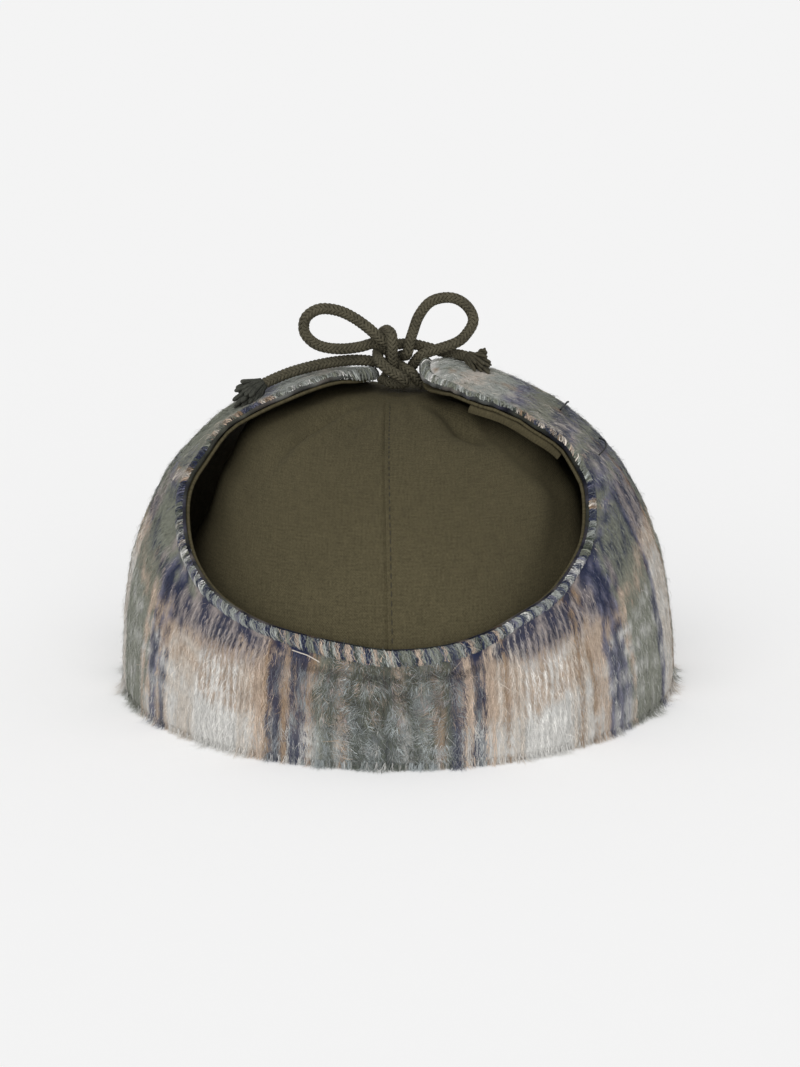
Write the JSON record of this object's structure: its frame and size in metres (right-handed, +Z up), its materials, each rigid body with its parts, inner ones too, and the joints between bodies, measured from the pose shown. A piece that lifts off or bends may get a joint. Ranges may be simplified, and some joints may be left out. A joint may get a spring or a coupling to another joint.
{
  "type": "earflap cap",
  "caption": "Soft domed cap with a mohair ear and neck flap folded up all round it, its tips tied in a cord bow on top.",
  "frame": {"origin": "middle of the folded rim, on the flat surface that the rim rests on", "axes": "+Z up through the crown, +Y toward the front of the cap (the picture shows its back), +X toward the ear flap that is on the right in the picture"},
  "size_m": [0.1901, 0.2296, 0.1324],
  "materials": {
    "olive_cotton": "matte plain weave",
    "plaid_mohair": "brushed plaid wool with long nap",
    "olive_tape": "matte woven tape",
    "olive_braid": "matte round braid"
  },
  "bodies": {
    "root": {"crown": "olive_cotton", "flap_shell": "olive_cotton", "flap_mohair": "plaid_mohair", "fastening_tape": "olive_tape", "cord_left": "olive_braid", "cord_right": "olive_braid", "cord_end_left": "olive_braid", "cord_end_right": "olive_braid"}
  },
  "joints": []
}
